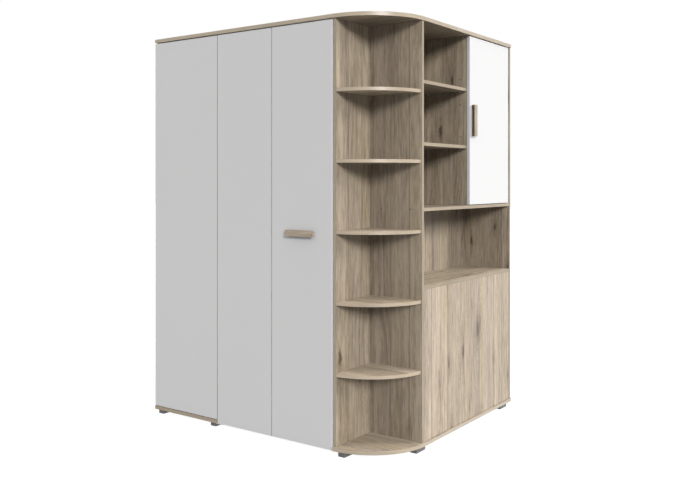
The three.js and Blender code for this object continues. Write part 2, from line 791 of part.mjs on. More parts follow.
function addCupboardPins() {
  const profile = [
    [0, -doorPinDepth],
    [doorPinRadius, -doorPinDepth],
    [doorPinRadius, 0],
    [doorPinCollarRadius, 0],
    [doorPinCollarRadius, doorPinCollarThick],
    [doorPinRadius, doorPinCollarThick],
    [doorPinRadius, cupboardDoorGap + doorPinReach],
    [0, cupboardDoorGap + doorPinReach],
  ];
  const top = turned(profile).translate(doorPinX, doorPinY, cupboardDoorTop);
  addPiece(cupboardFront, 'cupboard_pivot_pin_top', steel, top);
  const bottom = turned(profile).rotateX(Math.PI).translate(doorPinX, doorPinY, cupboardDoorBottom);
  addPiece(cupboardFront, 'cupboard_pivot_pin_bottom', steel, bottom);
}

addTopBoard();
addBottomBoards();
addFeet();
addBay();
addBayShelves();
addClothesRail();
addJamb();
addRoundShelves();
addBookcaseSides();
addBookcaseBoards();
addLooseShelves();
addLeaves();
addLeafPivots();
addTrack();
addGuidePin();
addPivotPlate();
addFoldHinges();
addCupboardDoor();
addCupboardPins();

// The origin is the middle of the wardrobe's outline on the floor, handles included
const handleReach = handleGap + handleThick;
const xMiddle = (leftFace + cupboardDoorFront + handleReach) / 2;
const yMiddle = (frontSetback - handleReach + overallDepth) / 2;
wardrobe.position.set(-xMiddle, -yMiddle, 0);

export default wardrobe;
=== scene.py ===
# Corner wardrobe: oak decor carcass with a round corner niche, a white folding door on one face,
# and a bookcase with a desk niche and a small cupboard on the other. Lengths are in metres.

import bmesh
import bpy
from math import pi, radians
from mathutils import Matrix, Vector


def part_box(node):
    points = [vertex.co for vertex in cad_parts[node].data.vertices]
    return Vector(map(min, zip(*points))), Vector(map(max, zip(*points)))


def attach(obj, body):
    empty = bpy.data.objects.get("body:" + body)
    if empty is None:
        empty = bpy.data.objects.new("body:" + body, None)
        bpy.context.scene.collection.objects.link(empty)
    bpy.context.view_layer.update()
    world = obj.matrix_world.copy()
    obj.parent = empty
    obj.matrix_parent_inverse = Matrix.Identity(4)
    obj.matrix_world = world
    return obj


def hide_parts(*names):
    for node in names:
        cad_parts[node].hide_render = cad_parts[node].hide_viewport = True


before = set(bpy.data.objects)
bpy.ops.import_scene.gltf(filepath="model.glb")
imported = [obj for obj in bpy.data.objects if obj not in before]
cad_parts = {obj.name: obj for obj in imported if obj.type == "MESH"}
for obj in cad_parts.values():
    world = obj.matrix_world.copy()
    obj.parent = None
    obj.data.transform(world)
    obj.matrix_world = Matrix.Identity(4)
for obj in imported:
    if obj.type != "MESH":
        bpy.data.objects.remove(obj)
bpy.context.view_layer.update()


# Bottom boards. Two 18 mm chipboard boards faced with an oak print, edge banded all round: a
# straight one under the bay, and one under the niche and the bookcase, whose outer corner is a
# quarter round. The carcass stands on them, and they stand on the feet.

X, Y, Z = 0, 1, 2
corner_radius = 0.304
corner_steps = 96
edge_round = 0.0006
edge_round_steps = 3
smooth_below = radians(14)
tolerance = 1e-6

# The oak print. A scale gives a pattern's blotches to a metre across the grain, along it and
# through the board. A fade gives the values between which a pattern comes in, and then its two
# levels, where these aren't 0 and 1. A weight says how far a pattern lightens or darkens the
# print, and a share how much of a colour is laid over it.
stave_width = 0.088
stave_randomness = 0.85
stave_jump = (3.7, 9.1, 5.3)
darkest_stave, lightest_stave = 0.88, 1.08
seam_fade = (0.042, 0.008)
seam_strength_fade = (0.2, 0.8, 0.3, 0.9)
knot_scale = (7.4, 2.1, 0.0)
knot_chance_fade = (0.4, 0.42)
smallest_knot, largest_knot = 0.45, 1.35
knot_wobble_scale = (110.0, 36.0, 9.0)
knot_wobble_fade = (0.3, 0.7, 0.7, 1.3)
core_fade, core_share = (0.09, 0.02), 0.85
halo_fade, halo_share = (0.3, 0.03), 0.5
tail_scale = (19.0, 3.4, 0.0)
tail_fade, tail_share = (1.0, 0.0), 0.8
sway_scale = (5.0, 1.6, 1.0)
sway_width = 0.035
figure_lines = 34.0
figure_bend_scale = (5.5, 0.9, 0.8)
figure_bend = 9.0
figure_knot_bend = 3.0
figure_sharpness = 2.0
figure_patch_scale = (9.0, 2.2, 2.0)
figure_patch_fade = (0.35, 0.65, 0.15, 1.0)
figure_weight = -0.28
band_scale, band_weight = (17.0, 0.8, 3.0), 1.0
streak_scale, streak_weight = (75.0, 3.4, 5.0), 0.65
fleck_scale, fleck_weight = (105.0, 14.0, 5.0), 1.0
fine_scale, fine_weight = (330.0, 13.0, 11.0), 0.85
pore_scale, pore_weight = (900.0, 30.0, 40.0), -0.35
pore_fade, pore_streak_fade = (0.54, 0.7), (0.65, 0.35)
hue_scale, hue_fade = (26.0, 1.0, 3.0), (0.28, 0.72)
hue_from_band, hue_from_stave = 0.55, 0.45
mean_tone = 0.68
edge_band_share = 0.5
oak_roughness_fade, pore_roughness = (0.2, 0.8, 0.36, 0.46), 0.2
fine_relief, pore_relief, seam_relief, knot_relief = 0.35, -0.8, -0.8, -0.6
oak_light = (0.66, 0.546, 0.414, 1)
oak_dark = (0.25, 0.196, 0.136, 1)
oak_knot = (0.085, 0.062, 0.042, 1)
oak_halo = (0.25, 0.188, 0.13, 1)
oak_band = (0.585, 0.465, 0.33, 1)
# Painted shade: a dark brown laid on the rounded arrises of the edge bands, for the shadow in the gaps
# between boards.
painted_rim_shade = (0.20, 0.14, 0.09, 1)
yellow_tint = (1.01, 1.0, 0.92, 1)
grey_tint = (1.0, 0.993, 1.06, 1)


def add_node(tree, kind, values=(), **settings):
    """Adds a shader node. Values are numbers for its sockets, or sockets that feed them."""
    made = tree.nodes.new(kind)
    for name, setting in settings.items():
        setattr(made, name, setting)
    for socket, value in dict(values).items():
        if isinstance(value, bpy.types.NodeSocket):
            tree.links.new(value, made.inputs[socket])
        else:
            made.inputs[socket].default_value = value
    return made


def calculate(tree, operation, *values):
    """One sum on numbers or sockets"""
    step = add_node(tree, "ShaderNodeMath", enumerate(values), operation=operation)
    return step.outputs["Value"]


def fade(tree, value, start, end, low=0.0, high=1.0):
    """Goes smoothly from low to high while the value goes from start to end"""
    values = {"Value": value, "From Min": start, "From Max": end, "To Min": low, "To Max": high}
    return add_node(tree, "ShaderNodeMapRange", values, interpolation_type="SMOOTHSTEP").outputs["Result"]


def scaled(tree, vector, scale):
    """A vector with each of its parts multiplied"""
    step = add_node(tree, "ShaderNodeVectorMath", {0: vector, 1: scale}, operation="MULTIPLY")
    return step.outputs["Vector"]


def noise(tree, vector, detail=2.0, roughness=0.5):
    """Smooth noise about 0.5, with one blotch to a unit of the vector"""
    values = {"Vector": vector, "Scale": 1.0, "Detail": detail, "Roughness": roughness}
    return add_node(tree, "ShaderNodeTexNoise", values).outputs["Fac"]


def mixed(tree, factor, first, second, way="MIX"):
    """Goes from the first colour to the second as the factor goes from 0 to 1"""
    values = {0: factor, 6: first, 7: second}
    mix = add_node(tree, "ShaderNodeMix", values, data_type="RGBA", blend_type=way)
    return mix.outputs[2]


def new_group(name, inputs, outputs):
    """A shader node group with its named sockets"""
    group = bpy.data.node_groups.new(name, "ShaderNodeTree")
    for label, kind in inputs:
        group.interface.new_socket(name=label, in_out="INPUT", socket_type=kind)
    for label, kind in outputs:
        group.interface.new_socket(name=label, in_out="OUTPUT", socket_type=kind)
    given = group.nodes.new("NodeGroupInput")
    result = group.nodes.new("NodeGroupOutput")
    return group, given.outputs, result.inputs


def build_oak_group():
    """Oak decor: printed staves with soft bands, flecks, figure that flows round the knots, and
    pores. The place's X runs across the grain, Y along it and Z through the board. On the edges
    there is only a plain band."""
    group, given, result = new_group(
        "oak decor",
        [("Place", "NodeSocketVector"), ("Edge", "NodeSocketFloat")],
        [("Color", "NodeSocketColor"), ("Roughness", "NodeSocketFloat"), ("Height", "NodeSocketFloat")],
    )
    on_face = calculate(group, "SUBTRACT", 1.0, given["Edge"])
    across = add_node(group, "ShaderNodeSeparateXYZ", {0: given["Place"]}).outputs["X"]
    stave_place = calculate(group, "MULTIPLY", calculate(group, "DIVIDE", across, stave_width), on_face)
    staves = {"W": stave_place, "Scale": 1.0, "Randomness": stave_randomness}
    cells = add_node(group, "ShaderNodeTexVoronoi", staves, voronoi_dimensions="1D")
    borders = add_node(
        group, "ShaderNodeTexVoronoi", staves, voronoi_dimensions="1D", feature="DISTANCE_TO_EDGE"
    )
    stave = add_node(group, "ShaderNodeSeparateColor", {0: cells.outputs["Color"]}).outputs
    values = {0: cells.outputs["Color"], 1: stave_jump, 2: given["Place"]}
    place = add_node(group, "ShaderNodeVectorMath", values, operation="MULTIPLY_ADD").outputs["Vector"]

    knot_place = scaled(group, place, knot_scale)
    values = {"Vector": knot_place, "Scale": 1.0}
    knot = add_node(group, "ShaderNodeTexVoronoi", values, voronoi_dimensions="2D")
    chance = add_node(group, "ShaderNodeSeparateColor", {0: knot.outputs["Color"]}).outputs
    has_knot = fade(group, chance["Red"], *knot_chance_fade)
    present = calculate(group, "MULTIPLY", has_knot, on_face)
    size = fade(group, chance["Green"], 0.0, 1.0, smallest_knot, largest_knot)
    wobble = fade(group, noise(group, scaled(group, place, knot_wobble_scale)), *knot_wobble_fade)
    size = calculate(group, "MULTIPLY", size, wobble)
    reach = calculate(group, "DIVIDE", knot.outputs["Distance"], size)
    core = calculate(group, "MULTIPLY", fade(group, reach, *core_fade), present)
    halo = calculate(group, "MULTIPLY", fade(group, reach, *halo_fade), present)
    values = {0: knot_place, 1: knot.outputs["Position"]}
    away = add_node(group, "ShaderNodeVectorMath", values, operation="SUBTRACT").outputs["Vector"]
    values = {0: scaled(group, away, tail_scale)}
    spread = add_node(group, "ShaderNodeVectorMath", values, operation="LENGTH").outputs["Value"]
    nearness = fade(group, calculate(group, "DIVIDE", spread, size), *tail_fade)
    tail = calculate(group, "MULTIPLY", nearness, present)

    sway = noise(group, scaled(group, place, sway_scale))
    shift = add_node(group, "ShaderNodeCombineXYZ", {0: calculate(group, "MULTIPLY", sway, sway_width)})
    values = {0: place, 1: shift.outputs[0]}
    flow = add_node(group, "ShaderNodeVectorMath", values, operation="ADD").outputs["Vector"]
    bend = noise(group, scaled(group, place, figure_bend_scale))
    lines = calculate(group, "MULTIPLY", across, figure_lines)
    drift = calculate(group, "MULTIPLY_ADD", bend, figure_bend, lines)
    phase = calculate(group, "MULTIPLY_ADD", halo, figure_knot_bend, drift)
    wave = calculate(group, "SINE", calculate(group, "MULTIPLY", phase, 2 * pi))
    line = calculate(group, "POWER", calculate(group, "MULTIPLY_ADD", wave, 0.5, 0.5), figure_sharpness)
    patch = fade(group, noise(group, scaled(group, place, figure_patch_scale)), *figure_patch_fade)
    figure = calculate(group, "MULTIPLY", line, patch)

    band = noise(group, scaled(group, flow, band_scale), detail=1.0)
    streak = noise(group, scaled(group, flow, streak_scale), detail=3.0, roughness=0.6)
    fleck = noise(group, scaled(group, flow, fleck_scale), detail=3.0, roughness=0.6)
    fine = noise(group, scaled(group, flow, fine_scale))
    hue_band = fade(group, noise(group, scaled(group, flow, hue_scale), detail=1.0), *hue_fade)
    stave_hue = calculate(group, "MULTIPLY", stave["Green"], hue_from_stave)
    hue = calculate(group, "MULTIPLY_ADD", hue_band, hue_from_band, stave_hue)
    hue = calculate(group, "MULTIPLY", hue, on_face)
    pore = fade(group, noise(group, scaled(group, flow, pore_scale), detail=1.0), *pore_fade)
    pore = calculate(group, "MULTIPLY", pore, fade(group, streak, *pore_streak_fade))

    tone = mean_tone
    marks = [(band, band_weight), (streak, streak_weight), (fleck, fleck_weight), (fine, fine_weight)]
    for mark, weight in marks:
        centred = calculate(group, "SUBTRACT", mark, 0.5)
        tone = calculate(group, "MULTIPLY_ADD", centred, weight, tone)
    tone = calculate(group, "MULTIPLY_ADD", figure, figure_weight, tone)
    tone = calculate(group, "MULTIPLY_ADD", pore, pore_weight, tone)
    wood = mixed(group, tone, oak_dark, oak_light)
    wood = mixed(group, 1.0, wood, mixed(group, hue, yellow_tint, grey_tint), "MULTIPLY")
    shade = fade(group, stave["Red"], 0.0, 1.0, darkest_stave, lightest_stave)
    shades = add_node(group, "ShaderNodeCombineColor", {0: shade, 1: shade, 2: shade}).outputs[0]
    wood = mixed(group, 1.0, wood, shades, "MULTIPLY")
    seam = fade(group, borders.outputs["Distance"], *seam_fade)
    seam = calculate(group, "MULTIPLY", seam, on_face)
    seam = calculate(group, "MULTIPLY", seam, fade(group, stave["Blue"], *seam_strength_fade))
    layers = [
        (halo, halo_share, oak_halo),
        (tail, tail_share, oak_halo),
        (core, core_share, oak_knot),
        (seam, 1.0, oak_halo),
        (given["Edge"], edge_band_share, oak_band),
    ]
    for mask, share, color in layers:
        wood = mixed(group, calculate(group, "MULTIPLY", mask, share), wood, color)
    group.links.new(wood, result["Color"])

    grain = fade(group, fine, *oak_roughness_fade)
    rough = calculate(group, "MULTIPLY_ADD", pore, pore_roughness, grain)
    group.links.new(rough, result["Roughness"])
    relief = calculate(group, "MULTIPLY", fine, fine_relief)
    for mark, depth in ((pore, pore_relief), (seam, seam_relief), (core, knot_relief)):
        relief = calculate(group, "MULTIPLY_ADD", mark, depth, relief)
    group.links.new(relief, result["Height"])
    return group


oak_group = build_oak_group()


def new_material(name):
    """An empty material with its shader, ready for its patterns"""
    material = bpy.data.materials.new(name)
    material.use_nodes = True
    tree = material.node_tree
    return material, tree, tree.nodes["Principled BSDF"]


def wire_surface(tree, shader, pattern, depth):
    """Feeds a pattern's colour, roughness and height to the shader. Depth is the relief in metres."""
    tree.links.new(pattern["Color"], shader.inputs["Base Color"])
    tree.links.new(pattern["Roughness"], shader.inputs["Roughness"])
    values = {"Strength": 1.0, "Distance": depth, "Height": pattern["Height"]}
    bump = add_node(tree, "ShaderNodeBump", values)
    tree.links.new(bump.outputs["Normal"], shader.inputs["Normal"])


oak_relief = 0.00012
oak_bounce_loss = 0.92
# The rounded arrises are painted dark, as painted shade for the gaps between boards. Below: how strongly,
# and which facings count as arris.
rim_shade_strength = 0.7
least_facing = 0.7
rim_facing, rim_spread = 0.6, 0.38
band_gloss_ior = 1.75
band_gloss_roughness = 0.38
straight_band_lightness = 0.78
weak_band_gloss = 0.3
full_band_gloss = 1.0
stretch_steps = (1.713, 2.391, 0.937)
black = (0, 0, 0, 1)
finishes_made = []


def oak_finish(
    name, grain, thin, lightness=1.0,
    band_lightness=straight_band_lightness, band_gloss=weak_band_gloss,
):
    """Oak decor for one board, whose grain and thickness run along the given axes. Each board
    shows its own stretch of the pattern. Its faces and bands can be scaled lighter or darker: the
    bands' own tone, and on some boards painted light or painted shade. The rounded arrises get
    painted shade, and the board passes little of its own light on to the others."""
    material, tree, shader = new_material("oak " + name)
    finishes_made.append(name)
    shift = [len(finishes_made) * step for step in stretch_steps]
    where = add_node(tree, "ShaderNodeTexCoord").outputs
    moved = add_node(tree, "ShaderNodeMapping", {"Vector": where["Object"], "Location": shift})
    place = add_node(tree, "ShaderNodeSeparateXYZ", {0: moved.outputs[0]}).outputs
    across = 3 - grain - thin
    face = add_node(tree, "ShaderNodeCombineXYZ", {0: place[across], 1: place[grain], 2: place[thin]})
    along_band = calculate(tree, "ADD", place[across], place[grain])
    band = add_node(tree, "ShaderNodeCombineXYZ", {0: place[thin], 1: along_band, 2: 0.0})
    facing = add_node(tree, "ShaderNodeSeparateXYZ", {0: where["Normal"]}).outputs[thin]
    squareness = calculate(tree, "ABSOLUTE", facing)
    edge = calculate(tree, "LESS_THAN", squareness, least_facing)
    values = {0: edge, 4: face.outputs[0], 5: band.outputs[0]}
    pick = add_node(tree, "ShaderNodeMix", values, data_type="VECTOR").outputs[1]
    pattern = add_node(tree, "ShaderNodeGroup", node_tree=oak_group)
    tree.links.new(pick, pattern.inputs["Place"])
    tree.links.new(edge, pattern.inputs["Edge"])
    wire_surface(tree, shader, pattern.outputs, oak_relief)
    tree.links.new(calculate(tree, "MULTIPLY", edge, band_gloss), shader.inputs["Coat Weight"])
    shader.inputs["Coat IOR"].default_value = band_gloss_ior
    shader.inputs["Coat Roughness"].default_value = band_gloss_roughness
    # Painted shade on the rounded arrises, for the gaps between boards.
    rim = calculate(tree, "COMPARE", squareness, rim_facing, rim_spread)
    rim = calculate(tree, "MULTIPLY", rim, rim_shade_strength)
    # Faces and bands are scaled lighter or darker: the bands' own tone, and on some boards painted light
    # or painted shade.
    shade = fade(tree, edge, 0.0, 1.0, lightness, band_lightness)
    values = {"Value": shade, "Color": pattern.outputs["Color"]}
    tone_and_light_color = add_node(tree, "ShaderNodeHueSaturation", values).outputs["Color"]
    print_and_shade_color = mixed(tree, rim, tone_and_light_color, painted_rim_shade)
    bounced = add_node(tree, "ShaderNodeLightPath").outputs["Is Diffuse Ray"]
    loss = calculate(tree, "MULTIPLY", bounced, oak_bounce_loss)
    tree.links.new(mixed(tree, loss, print_and_shade_color, black), shader.inputs["Base Color"])
    return material


def dress(node, material):
    """Gives a carried-over piece its finish"""
    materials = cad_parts[node].data.materials
    materials.clear()
    materials.append(material)


def thin_axis(node):
    """The axis along which a board is thinnest"""
    low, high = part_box(node)
    size = high - low
    return min((X, Y, Z), key=lambda axis: size[axis])


def face_with_oak(grain, *nodes, lightness=1.0, band_lightness=straight_band_lightness):
    """Gives straight carried-over boards the oak print, each its own stretch"""
    for node in nodes:
        dress(node, oak_finish(node, grain, thin_axis(node), lightness, band_lightness))


def add_piece(name, body, shape, material, stands_for=()):
    """Makes a finished bmesh a piece that rides on a body, smooth where it curves"""
    mesh = bpy.data.meshes.new(name)
    shape.to_mesh(mesh)
    shape.free()
    mesh.shade_smooth()
    mesh.set_sharp_from_angle(angle=smooth_below)
    mesh.materials.append(material)
    piece = bpy.data.objects.new(name, mesh)
    bpy.context.scene.collection.objects.link(piece)
    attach(piece, body)
    if stands_for:
        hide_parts(*stands_for)
    return piece


def rounded_outline(points, height, corner, radius):
    """A flat face through the given points at one height, with one corner rounded off"""
    shape = bmesh.new()
    corners = [shape.verts.new((x, y, height)) for x, y in points]
    shape.faces.new(corners)
    bmesh.ops.bevel(
        shape, geom=[corners[corner]], offset=radius, segments=corner_steps,
        profile=0.5, affect="VERTICES", material=-1,
    )
    bmesh.ops.remove_doubles(shape, verts=shape.verts[:], dist=tolerance)
    return shape


def is_level(face):
    """Whether a face lies level"""
    return abs(face.normal.z) > least_facing


def thicken(shape, thickness):
    """Makes a flat face a board with both its rims rounded a little, as edge bands are"""
    grown = bmesh.ops.extrude_face_region(shape, geom=shape.faces[:])["geom"]
    top = [part for part in grown if isinstance(part, bmesh.types.BMVert)]
    bmesh.ops.translate(shape, vec=(0, 0, thickness), verts=top)
    bmesh.ops.recalc_face_normals(shape, faces=shape.faces[:])
    rims = [edge for edge in shape.edges if is_level(edge.link_faces[0]) != is_level(edge.link_faces[1])]
    bmesh.ops.bevel(
        shape, geom=rims, offset=edge_round, segments=edge_round_steps,
        profile=0.5, affect="EDGES", material=-1,
    )
    return shape


def corner_board(node):
    """The board that a node stands for, with its outer corner as a fine quarter round"""
    low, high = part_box(node)
    points = [(low.x, low.y), (high.x, low.y), (high.x, high.y), (low.x, high.y)]
    return thicken(rounded_outline(points, low.z, 1, corner_radius), high.z - low.z)


# The bookcase floor's faces are painted lighter: painted light, as from above.
painted_floor_light = 1.45
round_board_band = 0.9

face_with_oak(Y, "bay_bottom_board")
add_piece(
    "bookcase_floor", "carcass", corner_board("bookcase_bottom_board"),
    oak_finish("bookcase_floor", X, Z, painted_floor_light, round_board_band, full_band_gloss),
    ["bookcase_bottom_board"],
)


# Feet. Moulded dark plastic blocks that lift the wardrobe 20 mm off the floor, screwed up into
# the bottom boards. Their long side runs back from the face that they stand under.

dark_plastic_color = (0.145, 0.145, 0.148, 1)
dark_plastic_worn = (0.175, 0.173, 0.172, 1)
plastic_relief = 0.00006
plastic_grain_scale = (2600.0, 2600.0, 2600.0)
plastic_grain_fade = (0.3, 0.7, 0.42, 0.54)
plastic_cloud_scale = (55.0, 55.0, 90.0)
plastic_wear_fade = (0.35, 0.75)
plastic_wear_roughness = 0.16
foot_corner = 0.004
foot_corner_steps = 6
foot_draft = 0.0015


def build_plastic_group():
    """Moulded plastic: a fine spark-eroded grain with faint flow marks and dust"""
    group, given, result = new_group(
        "moulded plastic",
        [("Place", "NodeSocketVector"), ("Color", "NodeSocketColor"), ("Worn", "NodeSocketColor")],
        [("Color", "NodeSocketColor"), ("Roughness", "NodeSocketFloat"), ("Height", "NodeSocketFloat")],
    )
    grain = noise(group, scaled(group, given["Place"], plastic_grain_scale), detail=1.0)
    cloud = noise(group, scaled(group, given["Place"], plastic_cloud_scale), detail=3.0)
    wear = fade(group, cloud, *plastic_wear_fade)
    group.links.new(mixed(group, wear, given["Color"], given["Worn"]), result["Color"])
    grain_rough = fade(group, grain, *plastic_grain_fade)
    rough = calculate(group, "MULTIPLY_ADD", wear, plastic_wear_roughness, grain_rough)
    group.links.new(rough, result["Roughness"])
    group.links.new(grain, result["Height"])
    return group


plastic_group = build_plastic_group()


def plastic_finish(name, color, worn):
    """Moulded plastic of one colour, which is a little lighter where it is worn"""
    material, tree, shader = new_material(name)
    where = add_node(tree, "ShaderNodeTexCoord").outputs
    pattern = add_node(tree, "ShaderNodeGroup", node_tree=plastic_group)
    tree.links.new(where["Object"], pattern.inputs["Place"])
    pattern.inputs["Color"].default_value = color
    pattern.inputs["Worn"].default_value = worn
    wire_surface(tree, shader, pattern.outputs, plastic_relief)
    return material


dark_plastic = plastic_finish("dark plastic", dark_plastic_color, dark_plastic_worn)


def box_shape(low, high):
    """A plain block between two corners"""
    shape = bmesh.new()
    bmesh.ops.create_cube(shape, size=1.0)
    bmesh.ops.scale(shape, vec=high - low, verts=shape.verts[:])
    bmesh.ops.translate(shape, vec=(low + high) / 2, verts=shape.verts[:])
    return shape


def is_along(edge, axis):
    """Whether an edge runs along an axis"""
    run = edge.verts[1].co - edge.verts[0].co
    return abs(run[axis]) > least_facing * run.length


foot_nodes = [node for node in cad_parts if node.startswith("foot_")]
for node in sorted(foot_nodes):
    low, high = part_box(node)
    foot = box_shape(low, high)
    uprights = [edge for edge in foot.edges if is_along(edge, Z)]
    bmesh.ops.bevel(
        foot, geom=uprights, offset=foot_corner, segments=foot_corner_steps,
        profile=0.5, affect="EDGES", material=-1,
    )
    bottom = low.z + tolerance
    floor_rim = [edge for edge in foot.edges if all(vert.co.z < bottom for vert in edge.verts)]
    bmesh.ops.bevel(
        foot, geom=floor_rim, offset=foot_draft, segments=edge_round_steps,
        profile=0.5, affect="EDGES", material=-1,
    )
    add_piece(node + "_block", "carcass", foot, dark_plastic, [node])


# Bay. The wardrobe proper stands behind the white panel: two sides and a divider of 16 mm board,
# and a 3 mm hardboard back against the wall, whose inner face has the oak print.

hardboard_light = (0.40, 0.268, 0.158, 1)
hardboard_dark = (0.235, 0.148, 0.083, 1)
hardboard_roughness_fade = (0.2, 0.8, 0.85, 0.7)
fibre_scale = (420.0, 420.0, 420.0)
blotch_scale = (9.0, 9.0, 9.0)
blotch_weight = 0.8
mesh_mark_scale = (700.0, 700.0, 700.0)
mesh_mark_relief = 0.6

face_with_oak(Z, "bay_front_side", "bay_divider", "bay_rear_side")


def build_hardboard_group():
    """The raw side of hardboard: matted fibres pressed against a wire mesh"""
    group, given, result = new_group(
        "hardboard",
        [("Place", "NodeSocketVector")],
        [("Color", "NodeSocketColor"), ("Roughness", "NodeSocketFloat"), ("Height", "NodeSocketFloat")],
    )
    fibre = noise(group, scaled(group, given["Place"], fibre_scale), detail=4.0, roughness=0.7)
    blotch = noise(group, scaled(group, given["Place"], blotch_scale))
    values = {"Vector": scaled(group, given["Place"], mesh_mark_scale), "Scale": 1.0}
    mesh_mark = add_node(group, "ShaderNodeTexVoronoi", values).outputs["Distance"]
    centred = calculate(group, "SUBTRACT", blotch, 0.5)
    tone = calculate(group, "MULTIPLY_ADD", centred, blotch_weight, fibre)
    group.links.new(mixed(group, tone, hardboard_dark, hardboard_light), result["Color"])
    group.links.new(fade(group, fibre, *hardboard_roughness_fade), result["Roughness"])
    relief = calculate(group, "MULTIPLY_ADD", mesh_mark, mesh_mark_relief, fibre)
    group.links.new(relief, result["Height"])
    return group


hardboard_group = build_hardboard_group()


def back_panel_finish(name, lightness=1.0):
    """A thin back: upright oak print on the side that faces right, and raw hardboard behind"""
    material = oak_finish(name, Z, X, lightness)
    tree = material.node_tree
    shader = tree.nodes["Principled BSDF"]
    where = add_node(tree, "ShaderNodeTexCoord").outputs
    raw = add_node(tree, "ShaderNodeGroup", node_tree=hardboard_group)
    tree.links.new(where["Object"], raw.inputs["Place"])
    facing = add_node(tree, "ShaderNodeSeparateXYZ", {0: where["Normal"]}).outputs["X"]
    behind = calculate(tree, "LESS_THAN", facing, least_facing)
    print_and_shade_color = shader.inputs["Base Color"].links[0].from_socket
    tree.links.new(mixed(tree, behind, print_and_shade_color, raw.outputs["Color"]), shader.inputs["Base Color"])
    print_rough = shader.inputs["Roughness"].links[0].from_socket
    values = {0: behind, 2: print_rough, 3: raw.outputs["Roughness"]}
    rough = add_node(tree, "ShaderNodeMix", values, data_type="FLOAT").outputs[0]
    tree.links.new(rough, shader.inputs["Roughness"])
    return material


dress("bay_back_panel", back_panel_finish("bay_back_panel"))


# Fixed white panel. 16 mm board faced in smooth white on both sides and white edge banded. It
# stands on the bay's bottom board and is fixed to its front side from within.

white_bright = (0.885, 0.885, 0.881, 1)
white_dull = (0.868, 0.868, 0.866, 1)
white_relief = 0.00003
white_cloud_scale = (3.0, 3.0, 2.0)
pearl_scale = (1500.0, 1500.0, 1500.0)
pearl_weight = 0.5
pearl_roughness_fade = (0.3, 0.7, 0.3, 0.36)
handling_scale = (24.0, 24.0, 9.0)
handling_roughness = 0.1


def build_white_group():
    """Smooth white melamine: a very fine pearl grain, faint clouding and handling marks"""
    group, given, result = new_group(
        "white decor",
        [("Place", "NodeSocketVector")],
        [("Color", "NodeSocketColor"), ("Roughness", "NodeSocketFloat"), ("Height", "NodeSocketFloat")],
    )
    pearl = noise(group, scaled(group, given["Place"], pearl_scale))
    cloud = noise(group, scaled(group, given["Place"], white_cloud_scale), detail=3.0)
    marks = noise(group, scaled(group, given["Place"], handling_scale), detail=4.0, roughness=0.65)
    centred = calculate(group, "SUBTRACT", pearl, 0.5)
    tone = calculate(group, "MULTIPLY_ADD", centred, pearl_weight, cloud)
    group.links.new(mixed(group, tone, white_dull, white_bright), result["Color"])
    pearl_rough = fade(group, pearl, *pearl_roughness_fade)
    rough = calculate(group, "MULTIPLY_ADD", marks, handling_roughness, pearl_rough)
    group.links.new(rough, result["Roughness"])
    group.links.new(pearl, result["Height"])
    return group


white_group = build_white_group()


# Painted shade for the gaps between white panels: how far back from the front it reaches, and its colour.
gap_shade_depth = 0.004
gap_shade_color = (0.10, 0.097, 0.092, 1)


def white_finish(name, front=None):
    """Smooth white. Where a front is given, the edge that faces right is painted dark just
    behind it: painted shade, which draws the shadow in the thin gap between two panels."""
    material, tree, shader = new_material(name)
    where = add_node(tree, "ShaderNodeTexCoord").outputs
    pattern = add_node(tree, "ShaderNodeGroup", node_tree=white_group)
    tree.links.new(where["Object"], pattern.inputs["Place"])
    wire_surface(tree, shader, pattern.outputs, white_relief)
    if front is not None:
        # Painted shade: a dark strip along the front of the right-facing edge, for the gap between
        # panels.
        depth = add_node(tree, "ShaderNodeSeparateXYZ", {0: where["Object"]}).outputs["Y"]
        facing = add_node(tree, "ShaderNodeSeparateXYZ", {0: where["Normal"]}).outputs["X"]
        near = calculate(tree, "LESS_THAN", depth, front + gap_shade_depth)
        line = calculate(tree, "MULTIPLY", near, calculate(tree, "GREATER_THAN", facing, least_facing))
        lined = mixed(tree, line, pattern.outputs["Color"], gap_shade_color)
        tree.links.new(lined, shader.inputs["Base Color"])
    return material


white_decor = white_finish("white decor")
# The white front panel and the left leaf get painted gap shade on their right-facing edge.
white_decor_gap_shaded = white_finish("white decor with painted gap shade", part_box("white_front_panel")[0].y)
dress("white_front_panel", white_decor_gap_shaded)


# Bay shelves. The hat shelf over the hanging space and the three linen shelves beside it, 16 mm
# oak decor board fixed between the uprights.

face_with_oak(Y, "hat_shelf", "linen_shelf_1", "linen_shelf_2", "linen_shelf_3")


# Clothes rail. An oval chromed steel tube that drops into two grey plastic sockets, each screwed
# to an upright through its flange.

steel_color = (0.60, 0.61, 0.62, 1)
steel_dull = (0.48, 0.49, 0.50, 1)
metal_relief = 0.000002
drawing_scale = (1800.0, 60.0, 1800.0)
drawing_roughness_fade = (0.25, 0.75, 0.29, 0.38)
bloom_scale = (60.0, 60.0, 60.0)
bloom_fade = (0.35, 0.7)
bloom_roughness = 0.15
grey_plastic_color = (0.26, 0.26, 0.255, 1)
grey_plastic_worn = (0.33, 0.33, 0.32, 1)


